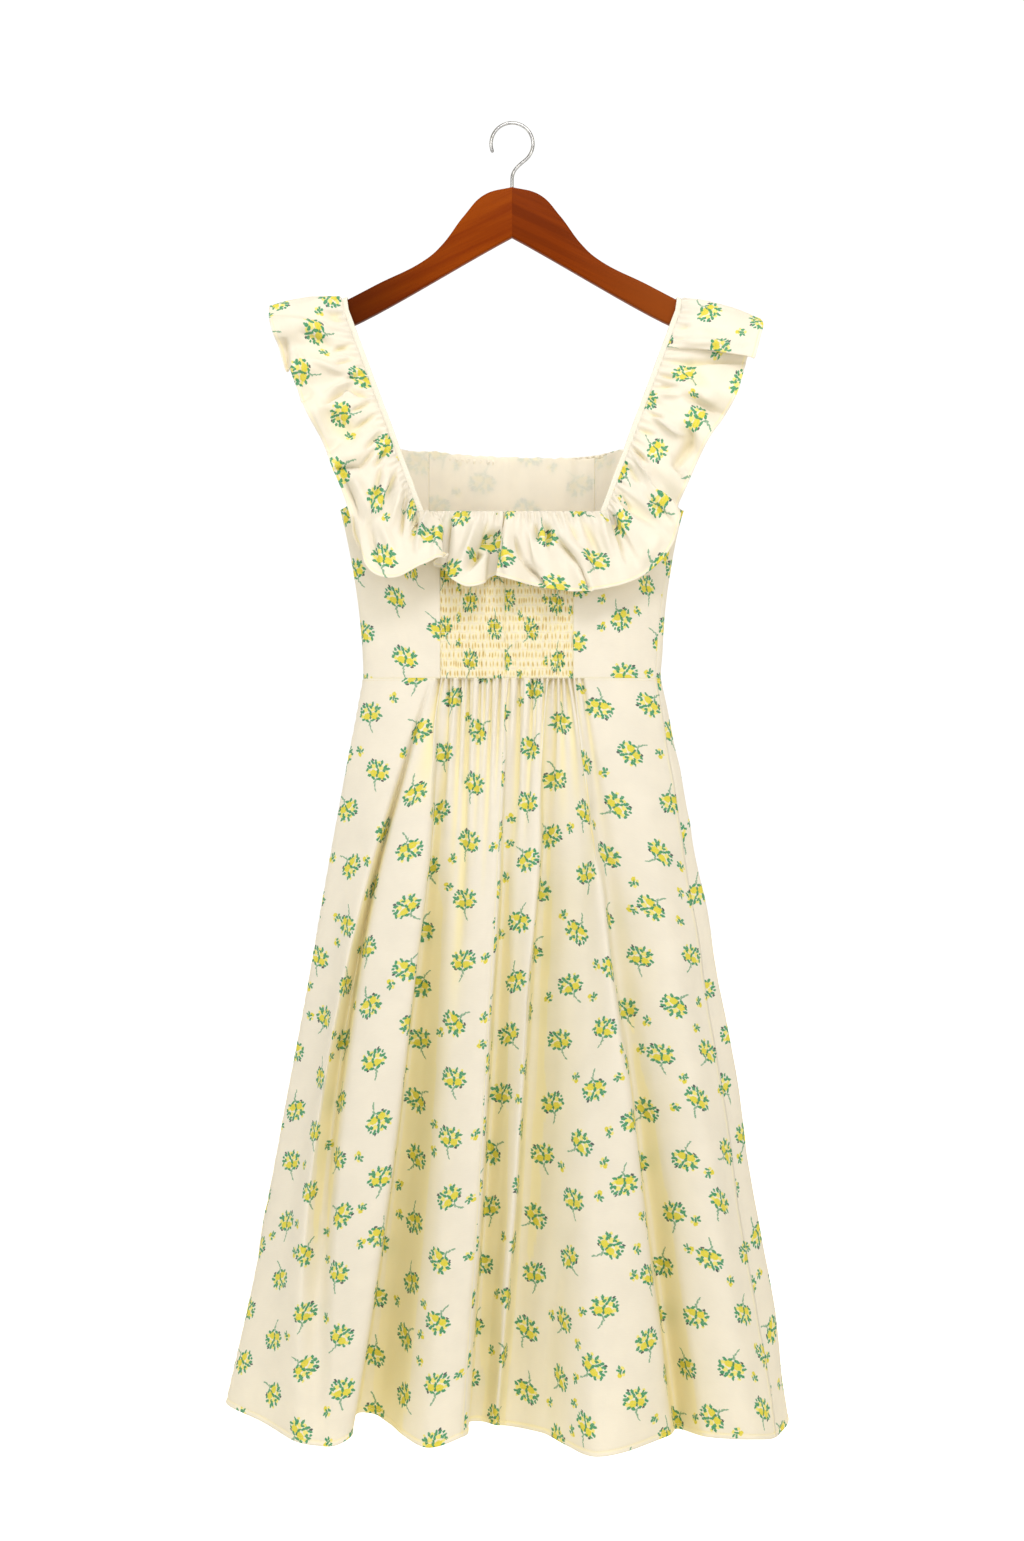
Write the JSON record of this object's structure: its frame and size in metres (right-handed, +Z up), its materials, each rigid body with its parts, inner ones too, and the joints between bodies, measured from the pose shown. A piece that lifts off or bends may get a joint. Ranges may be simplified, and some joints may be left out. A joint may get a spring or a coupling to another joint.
{
  "type": "ruffle dress on a wooden hanger",
  "caption": "Midi dress with a ruffled square neck, smocked back and gathered skirt, hanging from a wooden hanger with a metal hook.",
  "frame": {"origin": "the inside of the hook's crown, where it rests on its rail", "axes": "+Z up; -Y the way the dress's back faces; +X the right-hand side seen from there"},
  "size_m": [0.588, 0.232, 1.3676],
  "materials": {
    "cloth": "matt cream cotton with a small floral print",
    "strap": "matt ribbed ivory elastic",
    "wood_left": "satin varnished red-brown wood",
    "wood_right": "satin varnished red-brown wood, a little darker",
    "metal": "polished steel wire"
  },
  "bodies": {
    "root": {"hanger_arm_left": "wood_left", "hanger_arm_right": "wood_right", "hanger_hook": "metal", "back_side_left": "cloth", "back_side_right": "cloth", "smock_left": "cloth", "smock_right": "cloth", "front_side_left": "cloth", "front_centre": "cloth", "front_side_right": "cloth", "strap_left": "strap", "strap_right": "strap", "ruffle_left": "cloth", "ruffle_right": "cloth", "skirt_back_left": "cloth", "skirt_back_right": "cloth", "skirt_front": "cloth"}
  },
  "joints": []
}
